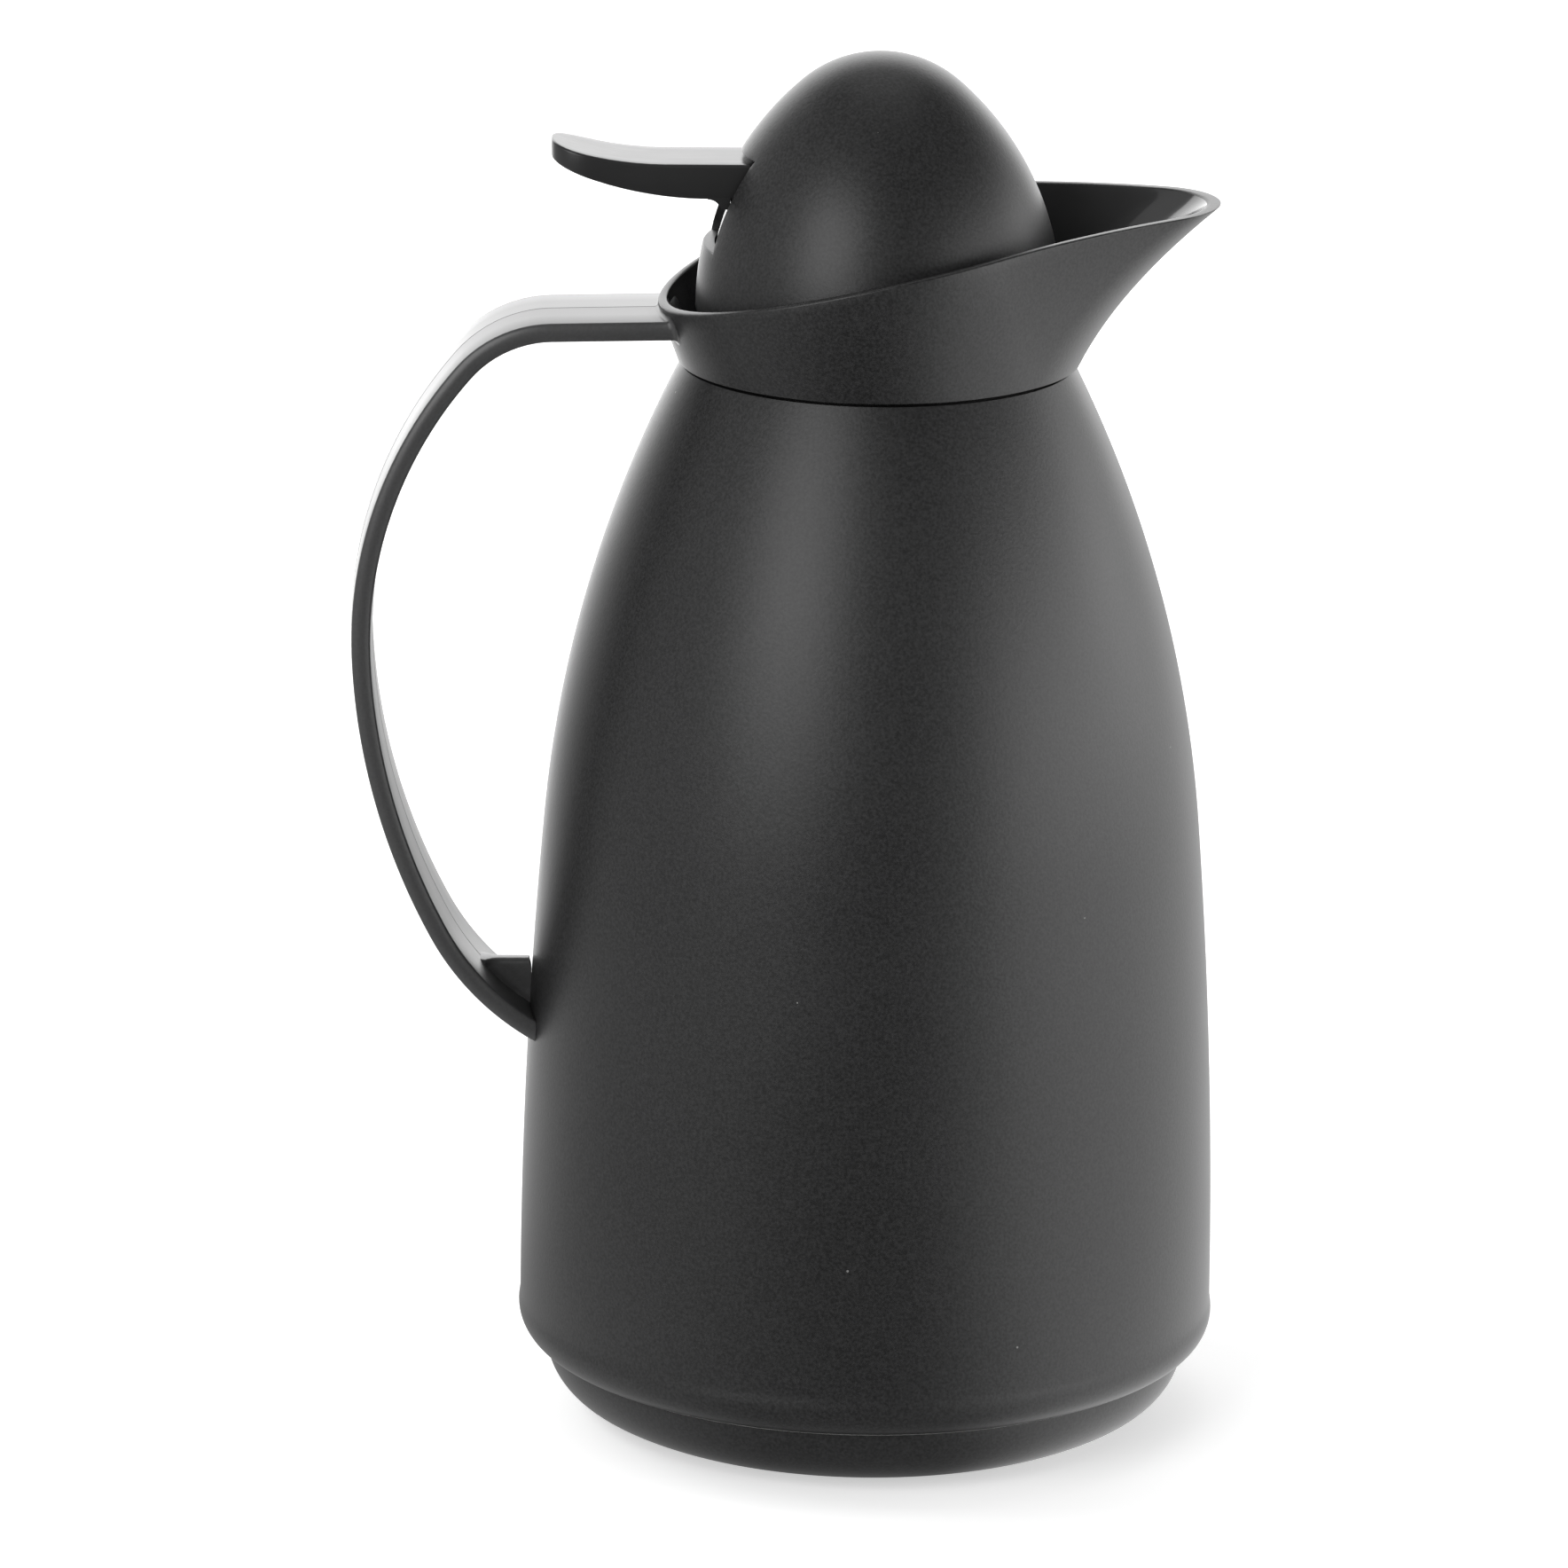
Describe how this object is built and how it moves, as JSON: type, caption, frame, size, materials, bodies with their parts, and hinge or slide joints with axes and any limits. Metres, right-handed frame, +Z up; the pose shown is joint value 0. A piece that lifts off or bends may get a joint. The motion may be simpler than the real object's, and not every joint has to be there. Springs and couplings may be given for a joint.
{
  "type": "vacuum jug",
  "caption": "Tall tapered vacuum jug with a strap handle, a pouring spout, a glass liner and an egg-shaped screw stopper whose thumb lever opens a spring-closed valve.",
  "frame": {"origin": "on the body's axis, at the floor, in the plane of the foot ring", "axes": "+Z up along the body's axis, +X towards the spout's lip, -X towards the handle, +Y across the handle"},
  "size_m": [0.1742, 0.1404, 0.2781],
  "materials": {
    "black_satin_plastic": "satin moulded black with a fine grain",
    "black_gloss_plastic": "smooth moulded black, half gloss",
    "inner_plastic": "plain moulded dark grey",
    "silvered_glass": "silvered glass",
    "felt_pad": "pressed felt",
    "soft_rubber": "smooth soft rubber",
    "steel": "plain drawn steel"
  },
  "bodies": {
    "jug": {"outer_shell": "black_satin_plastic", "base_cap": "black_satin_plastic", "liner_outer": "silvered_glass", "liner_inner": "silvered_glass", "liner_pads": "felt_pad", "support_cup": "soft_rubber", "neck_gasket": "soft_rubber", "neck_nut": "inner_plastic", "spout_collar": "black_satin_plastic", "handle_screw": "steel"},
    "seal": {"stopper_seal": "soft_rubber"},
    "stopper": {"stopper_plug": "inner_plastic", "stopper_dome": "black_satin_plastic", "dome_screws": "steel", "lever_pin": "steel", "valve_spring": "steel"},
    "lever": {"thumb_lever": "black_gloss_plastic"},
    "valve": {"valve_stem": "steel", "valve_head": "inner_plastic", "valve_seal": "soft_rubber", "stem_cap": "inner_plastic"}
  },
  "joints": [
    {"name": "stopper_lift", "type": "slide", "parent": "jug", "child": "seal", "axis": [0, 0, 1], "range_m": [0, 0.0721]},
    {"name": "stopper_turn", "type": "hinge", "parent": "seal", "child": "stopper", "pos_m": [0, 0, 0.2], "axis": [0, 0, 1], "range_deg": [0, 1080]},
    {"name": "lever_press", "type": "hinge", "parent": "stopper", "child": "lever", "pos_m": [0.016, 0, 0.2532], "axis": [0, -1, 0], "range_deg": [0, 10], "stiffness_Nm_per_rad": 0.17, "springref_deg": -17.19},
    {"name": "valve_travel", "type": "slide", "parent": "stopper", "child": "valve", "axis": [0, 0, -1], "range_m": [0, 0.0031], "deforming": ["valve_spring"]}
  ],
  "couplings": [
    {"joint": "stopper_lift", "follows": "stopper_turn", "m_per_rad": 0.0038197},
    {"joint": "valve_travel", "follows": "lever_press", "m_per_rad": 0.0175}
  ]
}
